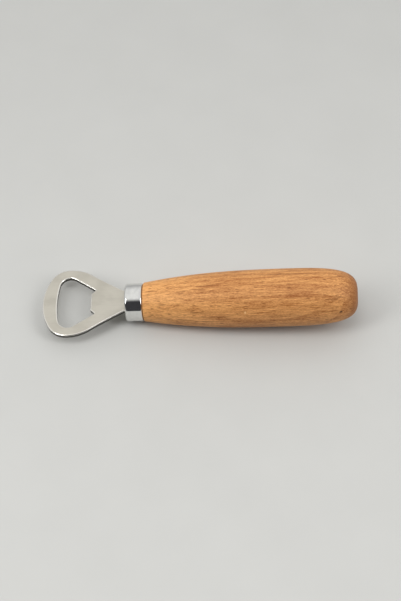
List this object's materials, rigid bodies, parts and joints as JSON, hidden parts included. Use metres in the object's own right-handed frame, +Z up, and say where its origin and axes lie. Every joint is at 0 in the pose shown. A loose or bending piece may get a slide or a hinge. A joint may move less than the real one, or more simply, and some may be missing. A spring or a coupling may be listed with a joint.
{
  "type": "bottle opener",
  "caption": "Flat steel bottle opener head with a toothed cap hole, held by a short metal ferrule in a turned wooden handle.",
  "frame": {"origin": "on the table, under the middle of the opener's bounding box", "axes": "+X runs from the opener head towards the butt of the handle, +Y across, +Z up from the table it lies on"},
  "size_m": [0.1588, 0.0404, 0.0324],
  "materials": {
    "satin_steel": "satin",
    "polished_nickel": "polished",
    "oiled_wood": "satin",
    "amber_glue": "gloss"
  },
  "bodies": {
    "root": {"opener_plate": "satin_steel", "ferrule": "polished_nickel", "handle": "oiled_wood", "tang_adhesive": "amber_glue"}
  },
  "joints": []
}
